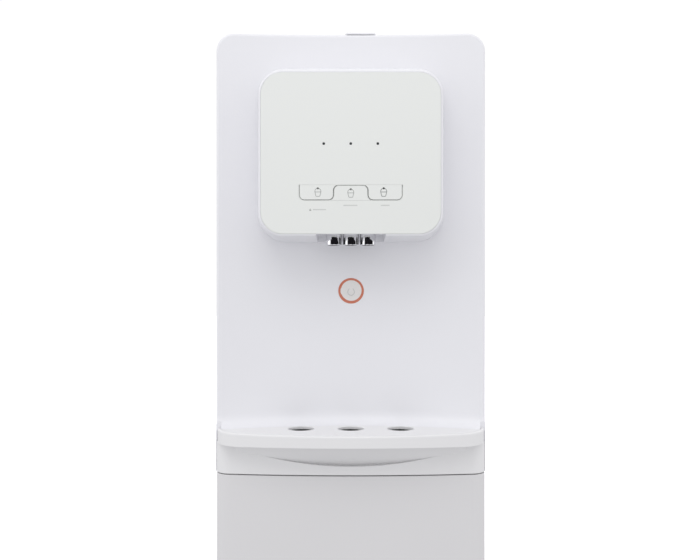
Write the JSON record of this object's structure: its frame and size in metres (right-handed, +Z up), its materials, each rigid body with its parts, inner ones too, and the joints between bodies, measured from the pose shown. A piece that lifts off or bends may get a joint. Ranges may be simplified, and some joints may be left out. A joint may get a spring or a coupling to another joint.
{
  "type": "countertop water dispenser",
  "caption": "White upright water dispenser for a counter: dished front, flared control head over chrome spouts, perforated drip shelf, pull-out drip drawer and rear cooling coil.",
  "frame": {"origin": "middle of the footprint, on the surface that the feet stand on", "axes": "+Z up, -Y out of the front towards the user, +X to the user's right"},
  "size_m": [0.27, 0.43, 0.5542],
  "materials": {
    "shell_white": "satin moulded white ABS",
    "face_white": "gloss moulded white ABS",
    "side_paint": "satin moulded white ABS",
    "zinc_steel": "galvanised sheet steel",
    "screw_steel": "zinc-plated",
    "basin_grey": "grey moulded plastic",
    "foot_rubber": "moulded rubber",
    "spout_chrome": "polished chrome",
    "lamp_lens": "smoked lens",
    "board_green": "solder mask",
    "dark_plastic": "black moulded plastic",
    "rocker_red": "red moulded plastic",
    "rocker_blue": "blue moulded plastic",
    "silicone": "milky silicone",
    "hose_white": "polyethylene tube",
    "valve_plastic": "white engineering plastic",
    "valve_coil": "potted coil",
    "stainless": "stainless steel",
    "jacket_metal": "rolled aluminium",
    "tank_foam": "expanded foam",
    "filter_shell": "white moulded housing",
    "compressor_black": "black enamel",
    "coil_black": "black enamel"
  },
  "bodies": {
    "cabinet": {"nozzle_block": "shell_white", "front_panel": "shell_white", "drip_shelf": "shell_white", "lower_front_panel": "shell_white", "head_housing": "shell_white", "top_cover": "shell_white", "face_plate": "face_white", "left_side_panel": "side_paint", "right_side_panel": "side_paint", "base_pan": "zinc_steel", "rear_panel": "zinc_steel", "tank_deck": "zinc_steel", "rear_screws": "screw_steel", "compressor_bolts": "screw_steel", "drawer_guide": "basin_grey", "rubber_feet": "foot_rubber", "compressor_mounts": "foot_rubber", "nozzle_hot": "spout_chrome", "nozzle_ambient": "spout_chrome", "nozzle_cold": "spout_chrome", "led_lenses": "lamp_lens", "control_board": "board_green", "power_board": "board_green", "tact_switches": "dark_plastic", "switch_frames": "dark_plastic", "mains_inlet": "dark_plastic", "condenser_brackets": "dark_plastic", "spout_tubes": "silicone", "supply_tubes": "silicone", "drain_tubes": "silicone", "feed_tubes": "hose_white", "valve_manifold": "valve_plastic", "filter_manifold": "valve_plastic", "inlet_fitting": "valve_plastic", "drain_spigots": "valve_plastic", "solenoid_hot": "valve_coil", "solenoid_ambient": "valve_coil", "solenoid_cold": "valve_coil", "hot_tank": "stainless", "cold_tank": "stainless", "heater_band": "stainless", "evaporator_jacket": "jacket_metal", "hot_insulation": "tank_foam", "cold_insulation": "tank_foam", "compressor": "compressor_black", "condenser_tube": "coil_black", "condenser_wires": "coil_black"},
    "drip_drawer": {"drawer_front": "shell_white", "drip_basin": "basin_grey"},
    "hot_key": {"key_hot": "face_white"},
    "ambient_key": {"key_ambient": "face_white"},
    "cold_key": {"key_cold": "face_white"},
    "lid": {"top_lid": "shell_white"},
    "sediment_filter": {"filter_sediment": "filter_shell"},
    "carbon_filter": {"filter_carbon": "filter_shell"},
    "membrane_filter": {"filter_membrane": "filter_shell"},
    "hot_drain_plug": {"drain_plug_hot": "silicone"},
    "cold_drain_plug": {"drain_plug_cold": "silicone"},
    "hot_rocker": {"rocker_hot": "rocker_red"},
    "cold_rocker": {"rocker_cold": "rocker_blue"}
  },
  "joints": [
    {"name": "drawer_slide", "type": "slide", "parent": "cabinet", "child": "drip_drawer", "axis": [0, -1, 0], "range_m": [0, 0.12]},
    {"name": "hot_key_press", "type": "hinge", "parent": "cabinet", "child": "hot_key", "pos_m": [-0.033, -0.202, 0.3944], "axis": [1, 0, 0], "range_deg": [0, 5.5], "stiffness_Nm_per_rad": 0.15, "springref_deg": -2.86},
    {"name": "ambient_key_press", "type": "hinge", "parent": "cabinet", "child": "ambient_key", "pos_m": [0, -0.202, 0.3806], "axis": [-1, 0, 0], "range_deg": [0, 5.5], "stiffness_Nm_per_rad": 0.15, "springref_deg": -2.86},
    {"name": "cold_key_press", "type": "hinge", "parent": "cabinet", "child": "cold_key", "pos_m": [0.033, -0.202, 0.3944], "axis": [1, 0, 0], "range_deg": [0, 5.5], "stiffness_Nm_per_rad": 0.15, "springref_deg": -2.86},
    {"name": "lid_hinge", "type": "hinge", "parent": "cabinet", "child": "lid", "pos_m": [0, 0.171, 0.5493], "axis": [-1, 0, 0], "range_deg": [0, 75]},
    {"name": "sediment_twist", "type": "hinge", "parent": "cabinet", "child": "sediment_filter", "pos_m": [-0.072, 0.119, 0.25], "axis": [0, 0, 1], "range_deg": [0, 60]},
    {"name": "carbon_twist", "type": "hinge", "parent": "cabinet", "child": "carbon_filter", "pos_m": [0, 0.119, 0.25], "axis": [0, 0, 1], "range_deg": [0, 60]},
    {"name": "membrane_twist", "type": "hinge", "parent": "cabinet", "child": "membrane_filter", "pos_m": [0.072, 0.119, 0.25], "axis": [0, 0, 1], "range_deg": [0, 60]},
    {"name": "hot_plug_pull", "type": "slide", "parent": "cabinet", "child": "hot_drain_plug", "axis": [0, 1, 0], "range_m": [0, 0.025]},
    {"name": "cold_plug_pull", "type": "slide", "parent": "cabinet", "child": "cold_drain_plug", "axis": [0, 1, 0], "range_m": [0, 0.025]},
    {"name": "hot_rocker_tilt", "type": "hinge", "parent": "cabinet", "child": "hot_rocker", "pos_m": [0.099, 0.1935, 0.0715], "axis": [1, 0, 0], "range_deg": [-16, 0]},
    {"name": "cold_rocker_tilt", "type": "hinge", "parent": "cabinet", "child": "cold_rocker", "pos_m": [0.099, 0.1935, 0.0985], "axis": [1, 0, 0], "range_deg": [-16, 0]}
  ]
}
